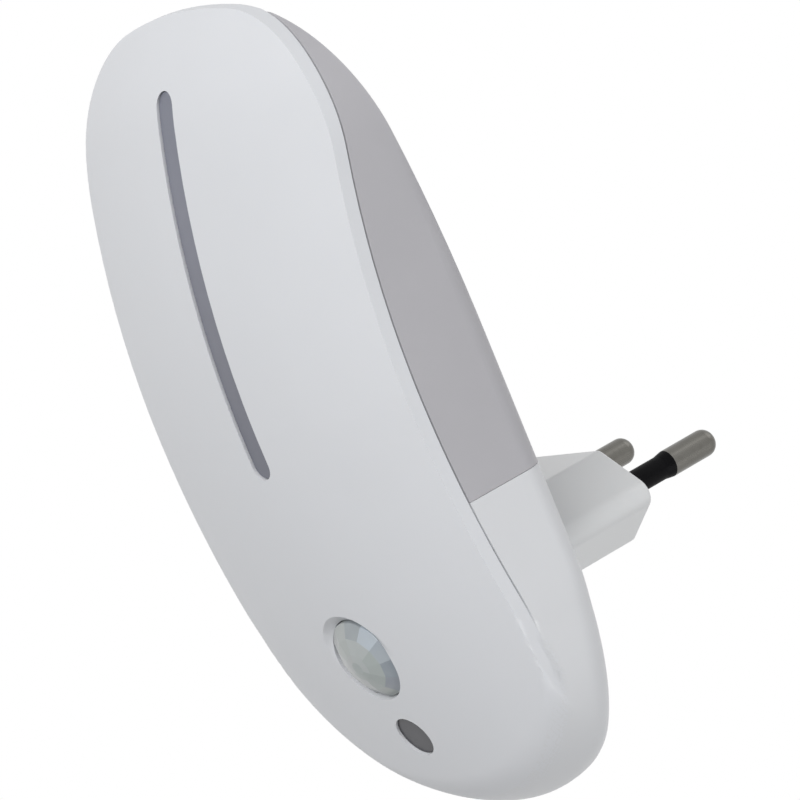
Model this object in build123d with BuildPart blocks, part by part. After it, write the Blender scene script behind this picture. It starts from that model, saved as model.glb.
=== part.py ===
from build123d import *
from math import asin, cos, degrees, radians, sin, sqrt
import os

# Plug-in night light, millimetres. +Z is up, the lit front looks along -Y and the contact pins
# point along +Y. The origin is the middle of the plug's face, midway between the two pins.

# ---- housing, front view -------------------------------------------------------------------
housing_top = 85.7          # highest point of the outline above the pins
housing_bottom = -34.6      # lowest point of the outline
top_half = 30.8             # half width where the sides meet the top curve, before rounding
bottom_half = 32.1          # half width where the sides meet the bottom curve
top_sag = 7.2               # rise of the top curve over its half width
bottom_sag = 6.5            # rise of the bottom curve
top_corner = 22.2           # radius of the upper shoulders
bottom_corner = 18.0        # radius of the lower corners

# ---- housing, side view --------------------------------------------------------------------
front_y = -46.0             # most forward point of the bowed front face
front_z = 29.5              # height of that point
bow_up = 140.0              # radius of the front's centre line above it
bow_down = 180.0            # and below it
bow_top = 42.0              # tighter radius where the face curls over at the top
curl_z = 72.0               # height where that curl starts
crown = 95.0                # radius of the front face from side to side
back_y = -23.4              # flat back of the housing, behind the plug's face
back_flat_z = 9.0           # the back is flat up to here and bows forward above
back_bow = 420.0            # radius of the bowed part of the back
back_round = 4.0            # rounding all round the back edge
wall = 2.0                  # moulded wall
rim = 2.05                  # depth of the front cover's edge
reveal = 0.3                # shadow gap between the cover and the rear shells
fit = 0.15                  # slip clearance of parts that plug together
lip = 1.2                   # thickness and depth of the locating lips
seam_z = 14.6               # straight seam between diffuser and back housing
seam_gap = 0.06

# ---- soft lower end: the crisp front edge melts into a pebble-like bottom --------------------
soft_reach = 63.4           # half height of the pebble shape, whose middle lies at front_z
soft_squeeze = 0.7          # its width as a share of its height
soft_ahead = 0.4            # its front lies this little ahead of the face
soft_dome = 200.0           # radius of its front
soft_front = 12.0           # radius of its front rim
soft_back = 18.0            # height of its rounded back rim
soft_behind = 2.4           # its back lies this far behind the flat back
soft_limit = 5.0            # it shapes only what lies below this height

# ---- light slit, motion lens, light-sensor window ---------------------------------------------
slit_low = 23.5
slit_high = 76.8
slit_width = 4.0
strip_recess = 0.35         # light strip lies this far below the face
strip_flange = 3.0          # flange of the strip beyond the slit
flange_thick = 1.2
lens_z = -5.3
lens_diameter = 12.4
lens_wall = 0.7
lens_sides = 12
# radius, height above the bezel floor and turn of each ring of facets
lens_tiers = [(6.2, -1.6, 0.0), (6.2, 0.0, 0.0), (5.3, 1.1, 0.0), (3.3, 1.9, 15.0), (1.3, 2.3, 15.0)]
box_margin = 4.2            # light box beyond the slit
box_wall = 1.2
bezel_diameter = 15.8
bezel_depth = 1.0
window_z = -18.0
window_diameter = 6.4
window_recess = 0.4

# ---- plug --------------------------------------------------------------------------------------
plug_point = 19.33          # half width to the sharp side points, 17.65 once they are rounded
plug_height = 13.7
plug_flat = 20.6            # width of the flat top and bottom
plug_point_round = 2.4      # rounding of the side points
plug_corner_round = 1.2
pin_spacing = 19.0
pin_diameter = 4.0
pin_length = 19.0
sleeve_length = 10.3        # insulated part of each pin
sleeve_diameter = 3.5
sleeve_flare = 1.5          # length of the flared end of a sleeve
shank_diameter = 2.9        # pin inside its sleeve
sleeve_root = 6.0           # sleeve inside the plug body
collar_diameter = 4.6       # anchor collar of a pin inside the plug
collar_depth = 14.0
collar_length = 3.0
plug_flange = 2.0           # thickness and overhang of the plug's inner flange
flange_half = 22.6          # half width of that flange

# ---- boards -------------------------------------------------------------------------------------
board_y = -34.3             # front face of both boards
board_thick = 1.6
control_half = 20.0
control_low = -13.0
control_high = 42.0
tongue_half = 6.0           # tongue of the control board behind the light sensor
tongue_low = -21.5
led_board_half = 13.0
board_gap = 1.0
led_board_high = 76.0
post_diameter = 5.0
board_screw = 1.8
board_posts = [(-17.0, -9.0), (17.0, -9.0), (-17.0, 38.0), (17.0, 38.0), (-10.5, 60.0), (10.5, 60.0)]

# ---- screws and catches -------------------------------------------------------------------------
case_screw_x = 11.0         # two screws in the lower back hold the housing to the cover
case_screw_z = -16.4
case_screw = 2.3
case_boss = 6.0
case_head = 4.8
case_head_thick = 1.8
case_seat = 3.0             # depth of the screw seat in the back
case_screw_length = 9.0
plug_screw_x = 20.5
plug_screw = 1.8
plug_boss = 4.6
catch_z = 50.0              # snap catches between cover and diffuser
catch_width = 8.0
catch_bite = 0.9

# ---- how the lens, the window and the sensors sit ------------------------------------------------
seat_depth = 2.35           # lens and window flanges sit this deep, just under the cover
bezel_angle = 100.0
lens_flange = 7.4           # radius of the lens flange
lens_flange_thick = 0.8
holder_bore = 6.0           # inner radius of the ring that clamps the lens
window_flange = 4.2
window_flange_thick = 1.0
can_radius = 4.1            # motion sensor can
can_base = 4.55
can_height = 4.2
can_base_thick = 0.5
can_round = 0.5
can_leg_circle = 2.54       # radius of the circle of its three legs
filter_size = (4.0, 3.0, 0.4)
leg_radius = 0.25
leg_hole = 0.4
leg_length = 2.4            # legs reach this far behind a part, through the board
photo_z = -16.5             # light sensor, on the window's inward axis
photo_radius = 1.5
photo_base = 1.9
photo_base_thick = 0.6
photo_height = 2.0
photo_dome = 1.1
photo_leg = 1.27            # half the pitch of its legs

# ---- bosses, pilots and contact straps ---------------------------------------------------------
case_boss_y = -27.9         # back end of the cover's screw bosses
case_pilot = 8.0
case_clear = 6.0            # screw hole through the back housing
column_diameter = 7.6
board_pilot = 5.0
board_head = 3.8
board_head_thick = 1.3
board_screw_length = 6.0
plug_pilot = 3.4
plug_head = 6.4
plug_head_thick = 1.5
plug_screw_length = 3.0
head_round = 0.5
cross_slot = 0.7            # width and depth of the cross in a screw head
cross_share = 0.6           # its length as a share of the head
strap_thick = 0.5
strap_width = 5.0
strap_low = 3.0
strap_high = 8.0
strap_past = 0.8            # how far a strap's foot stands out in front of the board
flange_round = 3.0
tip_share = 0.85            # rounding of the pin tips
plug_edge_round = 0.7
lip_low = -14.0             # the cover's lip stops here, above the soft end
lip_root = 0.5              # how far the lip is sunk into the cover
seam_lip_high = 2.5         # the seam tongue reaches this far above and below the seam
catch_y = -32.4             # middle of their slots
catch_slot_depth = 2.4
catch_slot_width = 4.6
catch_slope = 0.6           # extra reach of a catch's ramp towards the front
tongue_end_y = -29.5

# ---- outlines of the boards ----------------------------------------------------------------------
board_round = 1.5
tongue_round = 0.9
tongue_join = 2.0           # the tongue runs this far into the board
led_board_round = 3.0
link_places = [-3.6, -1.2, 1.2, 3.6]
link_inset = 1.6
link_radius = 0.3
link_stand = 0.9            # height of a link's bridge behind the boards
link_tip = 0.2              # solder end in front of them
link_bend = 0.7

# ---- small parts on the boards -------------------------------------------------------------------
led_front = [(0.0, 28.5), (0.0, 37.5), (0.0, 48.0), (0.0, 57.0), (0.0, 65.5), (0.0, 73.0)]
led_back = [(-8.0, 50.0), (8.0, 50.0), (-7.0, 67.0), (7.0, 67.0)]
led_wide = 2.8
led_tall = 3.5
led_high = 0.9
led_well = 0.4              # depth and radius of the round well in an LED
led_well_radius = 1.05
film_at = (-9.0, 28.5)
film_size = (13.0, 5.0, 9.5)
film_round = 0.6
can_cap_radius = 3.1        # electrolytic capacitor lying on its side
can_cap_length = 11.0
can_cap_from = 2.5
can_cap_z = 21.5
can_cap_round = 0.5
can_cap_groove = 0.45       # crimp groove near the end with the seal
can_cap_groove_x = 1.8
package_stand = 0.15        # air under a moulded package
package_chamfer = 0.25
foot_size = (0.5, 0.9, 0.9)
foot_reach = 0.35           # middle of a foot beyond the package's side
bridge_at = (-10.0, 17.0)
bridge_size = (4.8, 2.4, 3.9)
bridge_pitch = 2.6
chip_at = (-7.5, 37.5)
chip_size = (5.0, 1.5, 3.9)
chip_pitch = 1.27
varistor_at = (12.5, 29.0)
varistor_radius = 3.8
varistor_thick = 3.4
varistor_round = 1.0
resistor_at = (4.0, 36.5)
resistor_radius = 1.5
resistor_length = 7.0
resistor_round = 0.6
resistor_stand = 0.1
resistor_lead = 1.6         # a lead leaves the body this far before it bends to the board
resistor_lead_bend = 0.5
chip_part_size = (1.6, 0.8, 0.6)
chip_places = [(2.5, 27.0), (2.5, 29.5), (2.5, 32.0), (5.5, 27.0), (5.5, 29.5), (5.5, 32.0),
               (-16.0, 19.0), (-16.0, 16.0)]

# ---- worked out from the sizes above ---------------------------------------------------------------
pin_x = pin_spacing / 2
pin_sides = [(-pin_x, 0), (pin_x, 0)]
case_screws = [(-case_screw_x, case_screw_z), (case_screw_x, case_screw_z)]
plug_screws = [(-plug_screw_x, 0), (plug_screw_x, 0)]
board_back = board_y + board_thick
inner_back = back_y - wall
plug_end_y = inner_back - plug_flange         # inner end of the plug body, where the straps lie
tail_y = plug_end_y - 2.4                     # inner end of the pins
light_deep = rim + flange_thick               # underside of the strip's flange
slit_middle = (slit_low + slit_high) / 2
slit_length = slit_high - slit_low
top_edge = housing_top - top_sag              # where the sides meet the top curve
bottom_edge = housing_bottom + bottom_sag     # and the bottom curve
catch_share = (catch_z - bottom_edge) / (top_edge - bottom_edge)
half_at_catch = bottom_half + (top_half - bottom_half) * catch_share
catch_x = half_at_catch - wall - fit - lip    # inner side of the snap tongues
front_depth = board_y - front_y               # from the boards to the foremost point of the face
beyond = 60.0                                 # longer than anything that is cut
ahead_depth = 25.0                            # thickness of the body drawn in front of the face
half_reach = 40.0                             # half width of the face as drawn
face_reach = 30.0                             # how far its centre line is drawn past the outline, degrees
back_reach = 12.0                             # the same for the bowed back
block_depth = back_y - front_y + 3.0          # depth of the housing before the face is cut

os.makedirs("parts", exist_ok=True)


def save(piece, name):
    """Label a finished piece and write its STEP file."""
    piece.part.label = name
    export_step(piece.part, f"parts/{name}.step")


# ================================ shared forms ====================================================

def outline(inset=0.0):
    """Front view of the housing: bowed top and bottom, big shoulders, slightly flared sides."""
    with BuildSketch(Plane.XZ) as view:
        with BuildLine():
            ThreePointArc((-top_half, top_edge), (0, housing_top), (top_half, top_edge))
            Line((top_half, top_edge), (bottom_half, bottom_edge))
            ThreePointArc((bottom_half, bottom_edge), (0, housing_bottom), (-bottom_half, bottom_edge))
            Line((-bottom_half, bottom_edge), (-top_half, top_edge))
        make_face()
        corners = view.vertices().sort_by(Axis.Y)
        fillet(corners[-2:], top_corner)
        fillet(view.vertices().sort_by(Axis.Y)[:2], bottom_corner)
        if inset:
            offset(amount=-inset)
    return view.sketch


curl_angle = degrees(asin((curl_z - front_z) / bow_up))
curl_y = front_y + bow_up - (bow_up - bow_top) * cos(radians(curl_angle))
curl_centre_z = front_z + (bow_up - bow_top) * sin(radians(curl_angle))

with BuildLine(Plane.YZ) as face_line:
    CenterArc((front_y + bow_down, front_z), bow_down, 180 + face_reach, -face_reach)
    CenterArc((front_y + bow_up, front_z), bow_up, 180, -curl_angle)
    CenterArc((curl_y, curl_centre_z), bow_top, 180 - curl_angle, -face_reach * 1.5)

face_start = Plane(origin=face_line.line @ 0, x_dir=(1, 0, 0), z_dir=face_line.line % 0)
crown_drop = crown - sqrt(crown**2 - half_reach**2)

# everything in front of the bowed and crowned face
with BuildPart() as ahead:
    with BuildSketch(face_start):
        with BuildLine():
            ThreePointArc((-half_reach, crown_drop), (0, 0), (half_reach, crown_drop))
            Polyline((half_reach, crown_drop), (half_reach, -ahead_depth), (-half_reach, -ahead_depth),
                     (-half_reach, crown_drop))
        make_face()
    sweep(path=face_line.line)


def ahead_of(depth):
    """All that lies in front of the face moved straight back by depth."""
    return ahead.part.moved(Location((0, depth, 0)))


def soft_waste(inset=0.0):
    """What the soft lower end takes off the housing: a block less a pebble shape with rounded rims."""
    reach = soft_reach - inset
    dome = soft_dome - inset
    rim = soft_front - inset
    dome_y = front_y - soft_ahead + soft_dome
    rim_y = dome_y - sqrt((dome - rim)**2 - (reach - rim)**2)
    touch = (reach - rim) * dome / (dome - rim)
    pebble_back = back_y + soft_behind - inset
    with BuildPart() as pebble:
        with BuildSketch(Plane.XY):
            with BuildLine():
                front = ThreePointArc((0, dome_y - dome), (touch / 2, dome_y - sqrt(dome**2 - touch**2 / 4)),
                                      (touch, dome_y - sqrt(dome**2 - touch**2)))
                TangentArc(front @ 1, (reach, rim_y), tangent=front % 1)
                back = EllipticalCenterArc((reach - soft_back, rim_y), soft_back, pebble_back - rim_y,
                                           start_angle=0, arc_size=90)
                Polyline(back @ 1, (0, pebble_back), front @ 0)
            make_face()
        revolve(axis=Axis.Y)
    egg = scale(pebble.part, by=(soft_squeeze, 1, 1), mode=Mode.PRIVATE)
    with BuildPart() as waste:
        with Locations((0, 0, soft_limit)):
            Box(2 * half_reach, 2 * half_reach, 2 * half_reach,
                align=(Align.CENTER, Align.CENTER, Align.MAX))
        add(egg.moved(Location((0, 0, front_z))), mode=Mode.SUBTRACT)
    return waste.part


def housing_form(inset=0.0):
    """Whole housing pulled in by inset, still open at the front."""
    flat = back_y - inset
    with BuildPart() as form:
        extrude(outline(inset).moved(Location((0, flat, 0))), amount=block_depth - inset, dir=(0, -1, 0))
        fillet(form.faces().sort_by(Axis.Y)[-1].edges(), back_round - inset)
        with BuildSketch(Plane.YZ):
            with BuildLine():
                bow_back = CenterArc((flat - back_bow, back_flat_z), back_bow, 0, back_reach)
                Polyline(bow_back @ 1, (half_reach, 2 * housing_top), (half_reach, back_flat_z),
                         bow_back @ 0)
            make_face()
        extrude(amount=half_reach, both=True, mode=Mode.SUBTRACT)
        add(soft_waste(inset), mode=Mode.SUBTRACT)
    return form.part



def face_at(z):
    """Plane on the centre line of the front face at height z, looking straight out of it."""
    if z < front_z:
        turn = asin((front_z - z) / bow_down)
        return Plane(origin=(0, front_y + bow_down * (1 - cos(turn)), z), x_dir=(1, 0, 0),
                     z_dir=(0, -cos(turn), -sin(turn)))
    turn = asin((z - front_z) / bow_up)
    return Plane(origin=(0, front_y + bow_up * (1 - cos(turn)), z), x_dir=(1, 0, 0),
                 z_dir=(0, -cos(turn), sin(turn)))


def layer(near, far):
    """Curved slab between two depths behind the front face."""
    with BuildPart() as slab:
        add(ahead_of(far))
        add(ahead_of(near), mode=Mode.SUBTRACT)
    return slab.part


def slot(length, width, y=back_y):
    """Upright slot centred on the light slit, facing the front, to be extruded forwards."""
    with BuildSketch(Plane.XZ.offset(-y)) as shape:
        with Locations((0, slit_middle)):
            SlotOverall(length, width, rotation=90)
    return shape.sketch


def along_y(places, y, turn):
    """Places at depth y whose drilling axis runs along Y."""
    return [Location((x, y, z), (turn, 0, 0)) for x, z in places]


def beyond_plane(z, side):
    """Large block that starts at height z and lies wholly above it or below it."""
    with Locations((0, back_y, z)):
        Box(2 * beyond, 2 * beyond, 2 * beyond, mode=Mode.SUBTRACT,
            align=(Align.CENTER, Align.CENTER, side))


lens_plane = face_at(lens_z)
window_plane = face_at(window_z)

cavity = housing_form(wall)
under_cover = ahead_of(rim)       # reaches from the outside to the underside of the cover

with BuildPart() as housing:
    add(housing_form())
    add(ahead.part, mode=Mode.SUBTRACT)


# ================================ front cover =====================================================
with BuildPart() as locating_lip:
    add(housing_form(wall + fit))
    add(layer(rim - lip_root, rim + reveal + lip), mode=Mode.INTERSECT)
    extrude(outline(wall + fit + lip).moved(Location((0, back_y, 0))), amount=beyond,
            dir=(0, -1, 0), mode=Mode.SUBTRACT)
    split(bisect_by=Plane.XY.offset(lip_low), keep=Keep.TOP)

# posts for both boards and bosses for the case screws, before they are cut to the cover's curve
with BuildPart() as posts:
    with BuildSketch(Plane.XZ.offset(-board_y)):
        with Locations(*board_posts):
            Circle(post_diameter / 2)
    extrude(amount=front_depth)
    with BuildSketch(Plane.XZ.offset(-case_boss_y)):
        with Locations(*case_screws):
            Circle(case_boss / 2)
    extrude(amount=case_boss_y - front_y)
    add(ahead_of(rim / 2), mode=Mode.SUBTRACT)

# snap tongues that reach back from the lip on both sides
with BuildPart() as tongues:
    with BuildSketch(Plane.XY.offset(catch_z - catch_width / 2)):
        with Locations((catch_x + lip / 2, tongue_end_y), (-catch_x - lip / 2, tongue_end_y)):
            Rectangle(lip, tongue_end_y - front_y, align=(Align.CENTER, Align.MAX))
    extrude(amount=catch_width)
    add(ahead_of(rim / 2), mode=Mode.SUBTRACT)
    with Locations((0, catch_y, catch_z)):
        Box(2 * beyond, catch_slot_depth, catch_slot_width, mode=Mode.SUBTRACT)

with BuildPart() as front_cover:
    add(housing.part)
    add(under_cover, mode=Mode.INTERSECT)
    add(locating_lip.part)
    add(posts.part)
    add(tongues.part)
    extrude(slot(slit_length, slit_width), amount=beyond, mode=Mode.SUBTRACT)
    with Locations(lens_plane):
        CounterSinkHole(lens_diameter / 2 + fit, bezel_diameter / 2, depth=2 * seat_depth,
                        counter_sink_angle=bezel_angle)
    with Locations(window_plane):
        Hole(window_diameter / 2 + fit / 2, depth=2 * seat_depth)
    with Locations(*along_y(board_posts, board_y, 90)):
        Hole(board_screw / 2, depth=board_pilot)
    with Locations(*along_y(case_screws, case_boss_y, 90)):
        Hole(case_screw / 2, depth=case_pilot)
save(front_cover, "front_cover")

# ================================ light slit ========================================================
with BuildPart() as slit_flange_space:
    extrude(slot(slit_length + 2 * strip_flange, slit_width + 2 * strip_flange), amount=beyond)

# translucent strip: a rib that fills the slit, on a flange behind the cover
with BuildPart() as light_strip:
    extrude(slot(slit_length - 2 * fit, slit_width - 2 * fit), amount=beyond)
    add(layer(strip_recess, light_deep), mode=Mode.INTERSECT)
    add(slit_flange_space.part & layer(rim, light_deep))
save(light_strip, "light_strip")

# white frame that keeps the LED light on the strip
with BuildPart() as light_box:
    inside = box_margin - box_wall
    outer_slot = slot(slit_length + 2 * box_margin, slit_width + 2 * box_margin, board_y)
    inner_slot = slot(slit_length + 2 * inside, slit_width + 2 * inside, board_y)
    extrude(outer_slot - inner_slot, amount=front_depth)
    add(ahead_of(light_deep), mode=Mode.SUBTRACT)
    split(bisect_by=Plane.XY.offset(led_board_high), keep=Keep.BOTTOM)
save(light_box, "light_box")


# ================================ motion lens and what it looks at =================================
def lens_rings(shrink):
    """Twelve-sided sections of the dome from its foot to its crown, pulled in by shrink."""
    rings = []
    for radius, height, turn in lens_tiers:
        with BuildSketch(lens_plane.offset(height - shrink - bezel_depth)) as ring:
            RegularPolygon(radius - shrink, lens_sides, rotation=turn)
        rings.append(ring.sketch)
    return rings


dome_rings = lens_rings(0.0)
hollow_rings = lens_rings(lens_wall)

with BuildPart() as motion_lens:
    with BuildSketch(lens_plane.offset(-seat_depth)):
        Circle(lens_flange)
    extrude(amount=-lens_flange_thick)
    for low, high in zip(dome_rings, dome_rings[1:]):
        loft([low, high], ruled=True)
    for low, high in zip(hollow_rings, hollow_rings[1:]):
        loft([low, high], ruled=True, mode=Mode.SUBTRACT)
save(motion_lens, "motion_lens")

with BuildPart() as lens_holder:
    with BuildSketch(lens_plane.offset(-seat_depth - lens_flange_thick)):
        Circle(lens_flange)
        Circle(holder_bore, mode=Mode.SUBTRACT)
    extrude(amount=-front_depth)
    split(bisect_by=Plane.XZ.offset(-board_y), keep=Keep.TOP)
save(lens_holder, "lens_holder")

sensor_z = lens_z + (board_y - lens_plane.origin.Y) * lens_plane.z_dir.Z / lens_plane.z_dir.Y
sensor_legs = [(can_leg_circle * cos(radians(a)), sensor_z + can_leg_circle * sin(radians(a)))
               for a in (90, 210, 330)]
photo_legs = [(-photo_leg, photo_z), (photo_leg, photo_z)]


def on_board(front=True):
    """Sketch plane on the board's front face, or on its back face."""
    return Plane.XZ.offset(-board_y) if front else Plane.XZ.offset(-board_back)


with BuildPart() as motion_sensor:
    with BuildSketch(on_board()):
        with Locations((0, sensor_z)):
            Circle(can_base)
    extrude(amount=can_base_thick)
    with BuildSketch(on_board()):
        with Locations((0, sensor_z)):
            Circle(can_radius)
    extrude(amount=can_height)
    fillet(motion_sensor.edges().sort_by(Axis.Y)[0], can_round)
    with BuildSketch(Plane.XZ.offset(-board_y + can_height)):
        with Locations((0, sensor_z)):
            Rectangle(filter_size[0], filter_size[1])
    extrude(amount=-filter_size[2], mode=Mode.SUBTRACT)
    with BuildSketch(on_board()):
        with Locations(*sensor_legs):
            Circle(leg_radius)
    extrude(amount=-leg_length)
save(motion_sensor, "motion_sensor")

with BuildPart() as motion_filter:
    with BuildSketch(Plane.XZ.offset(-board_y + can_height)):
        with Locations((0, sensor_z)):
            Rectangle(filter_size[0], filter_size[1])
    extrude(amount=-filter_size[2])
save(motion_filter, "motion_filter")

with BuildPart() as light_window:
    with BuildSketch(window_plane.offset(-window_recess)):
        Circle(window_diameter / 2)
    extrude(amount=window_recess - seat_depth)
    with BuildSketch(window_plane.offset(-seat_depth)):
        Circle(window_flange)
    extrude(amount=-window_flange_thick)
save(light_window, "light_window")

with BuildPart() as light_sensor:
    with BuildSketch(on_board()):
        with Locations((0, photo_z)):
            Circle(photo_base)
    extrude(amount=photo_base_thick)
    with BuildSketch(on_board()):
        with Locations((0, photo_z)):
            Circle(photo_radius)
    extrude(amount=photo_height)
    fillet(light_sensor.edges().sort_by(Axis.Y)[0], photo_dome)
    with BuildSketch(on_board()):
        with Locations(*photo_legs):
            Circle(leg_radius)
    extrude(amount=-leg_length)
save(light_sensor, "light_sensor")

# ================================ plug ==============================================================
def plug_section(grow=0.0):
    """Flat hexagon of the plug body, its two side points well rounded."""
    with BuildSketch(Plane.XZ.offset(-plug_end_y)) as section:
        with BuildLine():
            Polyline((plug_flat / 2, plug_height / 2), (plug_point, 0),
                     (plug_flat / 2, -plug_height / 2), (-plug_flat / 2, -plug_height / 2),
                     (-plug_point, 0), (-plug_flat / 2, plug_height / 2), close=True)
        make_face()
        points = section.vertices().sort_by(Axis.X)
        fillet([points[0], points[-1]], plug_point_round)
        fillet(section.vertices().filter_by(lambda v: abs(abs(v.Y) - plug_height / 2) < 0.01),
               plug_corner_round)
        if grow:
            offset(amount=grow)
    return section.sketch


for side, x in (("left", -pin_x), ("right", pin_x)):
    with BuildPart() as pin_sleeve:
        with BuildSketch(Plane.XY):
            with BuildLine():
                Polyline((x + shank_diameter / 2, -sleeve_root), (x + sleeve_diameter / 2, -sleeve_root),
                         (x + sleeve_diameter / 2, sleeve_length - sleeve_flare),
                         (x + pin_diameter / 2, sleeve_length), (x + shank_diameter / 2, sleeve_length),
                         close=True)
            make_face()
        revolve(axis=Axis((x, 0, 0), (0, 1, 0)))
    save(pin_sleeve, f"pin_sleeve_{side}")

    with BuildPart() as contact_pin:
        with BuildSketch(Plane.XZ.offset(-tail_y)):
            with Locations((x, 0)):
                Circle(shank_diameter / 2)
        extrude(amount=tail_y - sleeve_length)
        with BuildSketch(Plane.XZ.offset(collar_depth)):
            with Locations((x, 0)):
                Circle(collar_diameter / 2)
        extrude(amount=collar_length)
        with BuildSketch(Plane.XZ.offset(-sleeve_length)):
            with Locations((x, 0)):
                Circle(pin_diameter / 2)
        extrude(amount=sleeve_length - pin_length)
        fillet(contact_pin.edges().sort_by(Axis.Y)[-1], pin_diameter / 2 * tip_share)
    save(contact_pin, f"contact_pin_{side}")

    with BuildPart() as contact_strap:
        with BuildSketch(Plane.YZ.offset(x - strap_width / 2)):
            with BuildLine():
                Polyline((plug_end_y, -strap_low), (plug_end_y, strap_high),
                         (board_y - strap_past, strap_high), (board_y - strap_past, strap_high - strap_thick),
                         (plug_end_y - strap_thick, strap_high - strap_thick),
                         (plug_end_y - strap_thick, -strap_low), close=True)
            make_face()
        extrude(amount=strap_width)
        with BuildSketch(Plane.XZ.offset(-plug_end_y)):
            with Locations((x, 0)):
                Circle(shank_diameter / 2)
        extrude(amount=strap_thick, mode=Mode.SUBTRACT)
    save(contact_strap, f"contact_strap_{side}")

with BuildPart() as plug_body:
    add(plug_section())
    extrude(amount=-plug_end_y, dir=(0, 1, 0))
    fillet(plug_body.faces().sort_by(Axis.Y)[-1].edges(), plug_edge_round)
    with BuildSketch(Plane.XZ.offset(-plug_end_y)):
        RectangleRounded(2 * flange_half, plug_height + 2 * plug_flange, flange_round)
        with Locations(*plug_screws):
            Circle(plug_boss / 2 + fit, mode=Mode.SUBTRACT)
    extrude(amount=-plug_flange)
    # each pin's hole, with its collar's groove and the wider mouth for the sleeve
    for depth, length, diameter in ((0, -plug_end_y, shank_diameter),
                                    (collar_depth, collar_length, collar_diameter),
                                    (0, sleeve_root, sleeve_diameter)):
        with BuildSketch(Plane.XZ.offset(depth)):
            with Locations(*pin_sides):
                Circle(diameter / 2)
        extrude(amount=length, mode=Mode.SUBTRACT)
save(plug_body, "plug_body")

# ================================ rear shells ========================================================
with BuildPart() as rear:
    add(housing.part)
    add(ahead_of(rim + reveal), mode=Mode.SUBTRACT)
    add(cavity, mode=Mode.SUBTRACT)

with BuildPart() as rear_diffuser:
    add(rear.part)
    split(bisect_by=Plane.XY.offset(seam_z + seam_gap / 2), keep=Keep.TOP)
    # wedges inside both walls that snap into the slots of the cover's tongues
    wedge_back = catch_y + catch_slot_depth / 2
    wedge_front = catch_y - catch_slot_depth / 2
    for way in (-1, 1):
        with BuildSketch(Plane.XY.offset(catch_z - catch_slot_width / 2 + fit)):
            with BuildLine():
                Polyline((way * (catch_x + catch_bite), wedge_back - fit),
                         (way * (catch_x + wall + catch_bite), wedge_back - fit),
                         (way * (catch_x + wall + catch_bite), wedge_front - catch_slope),
                         (way * (catch_x + lip + fit), wedge_front + fit),
                         (way * (catch_x + catch_bite), wedge_front + 2 * fit), close=True)
            make_face()
        extrude(amount=catch_slot_width - 2 * fit)
save(rear_diffuser, "rear_diffuser")


def seam_band(inset, top):
    """Band of wall just inside the housing's skin, from below the seam up to the height top."""
    with BuildPart() as band:
        add(housing_form(inset))
        add(housing_form(wall + lip), mode=Mode.SUBTRACT)
        beyond_plane(top, Align.MIN)
        beyond_plane(seam_z - seam_lip_high, Align.MAX)
        add(ahead_of(rim + reveal + lip + 2 * fit), mode=Mode.SUBTRACT)
    return band.part


with BuildPart() as back_housing:
    add(rear.part)
    split(bisect_by=Plane.XY.offset(seam_z - seam_gap / 2), keep=Keep.BOTTOM)
    # the tongue that slips inside the diffuser, and its root fused to the wall below the seam
    add(seam_band(wall - fit, seam_z - seam_gap / 2))
    add(seam_band(wall + fit, seam_z + seam_lip_high))
    with BuildSketch(Plane.XZ.offset(-back_y + wall / 2)):
        with Locations(*case_screws):
            Circle(column_diameter / 2)
    extrude(amount=back_y - wall / 2 - case_boss_y - fit)
    with BuildSketch(Plane.XZ.offset(-back_y + wall / 2)):
        with Locations(*plug_screws):
            Circle(plug_boss / 2)
    extrude(amount=plug_flange + wall / 2)
    with Locations(*along_y(case_screws, back_y, -90)):
        CounterBoreHole(case_screw / 2 + fit, case_head / 2 + 2 * fit, case_seat, depth=case_clear)
    with Locations(*along_y(plug_screws, plug_end_y, 90)):
        Hole(plug_screw / 2, depth=plug_pilot)
    add(plug_section(fit))
    extrude(amount=beyond / 2, dir=(0, 1, 0), mode=Mode.SUBTRACT)
save(back_housing, "back_housing")

# ================================ boards =============================================================
strap_slots = [(x, strap_high - strap_thick / 2) for x in (-pin_x, pin_x)]

with BuildPart() as control_board:
    with BuildSketch(on_board(False)):
        with Locations((0, (control_low + control_high) / 2)):
            RectangleRounded(2 * control_half, control_high - control_low, board_round)
        with Locations((0, (tongue_low + control_low + tongue_join) / 2)):
            RectangleRounded(2 * tongue_half, control_low + tongue_join - tongue_low, tongue_round)
        with Locations(*board_posts[:4]):
            Circle(board_screw / 2 + fit, mode=Mode.SUBTRACT)
        with Locations(*sensor_legs, *photo_legs):
            Circle(leg_hole, mode=Mode.SUBTRACT)
        with Locations(*strap_slots):
            Rectangle(strap_width + 2 * fit, strap_thick + 2 * fit, mode=Mode.SUBTRACT)
        with Locations(*[(x, control_high - link_inset) for x in link_places]):
            Circle(leg_hole, mode=Mode.SUBTRACT)
    extrude(amount=board_thick)
save(control_board, "control_board")

with BuildPart() as led_board:
    with BuildSketch(on_board(False)):
        with Locations((0, (control_high + board_gap + led_board_high) / 2)):
            RectangleRounded(2 * led_board_half, led_board_high - control_high - board_gap, led_board_round)
        with Locations(*board_posts[4:]):
            Circle(board_screw / 2 + fit, mode=Mode.SUBTRACT)
        with Locations(*[(x, control_high + board_gap + link_inset) for x in link_places]):
            Circle(leg_hole, mode=Mode.SUBTRACT)
    extrude(amount=board_thick)
save(led_board, "led_board")

# wire links that carry the LED board's current
with BuildPart() as board_links:
    for x in link_places:
        low = control_high - link_inset
        high = control_high + board_gap + link_inset
        with BuildLine(Plane.YZ.offset(x)) as route:
            FilletPolyline((board_y - link_tip, low), (board_back + link_stand, low),
                           (board_back + link_stand, high), (board_y - link_tip, high), radius=link_bend)
        with BuildSketch(Plane(origin=route.line @ 0, z_dir=route.line % 0)):
            Circle(link_radius)
        sweep(path=route.line)
save(board_links, "board_links")

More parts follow.
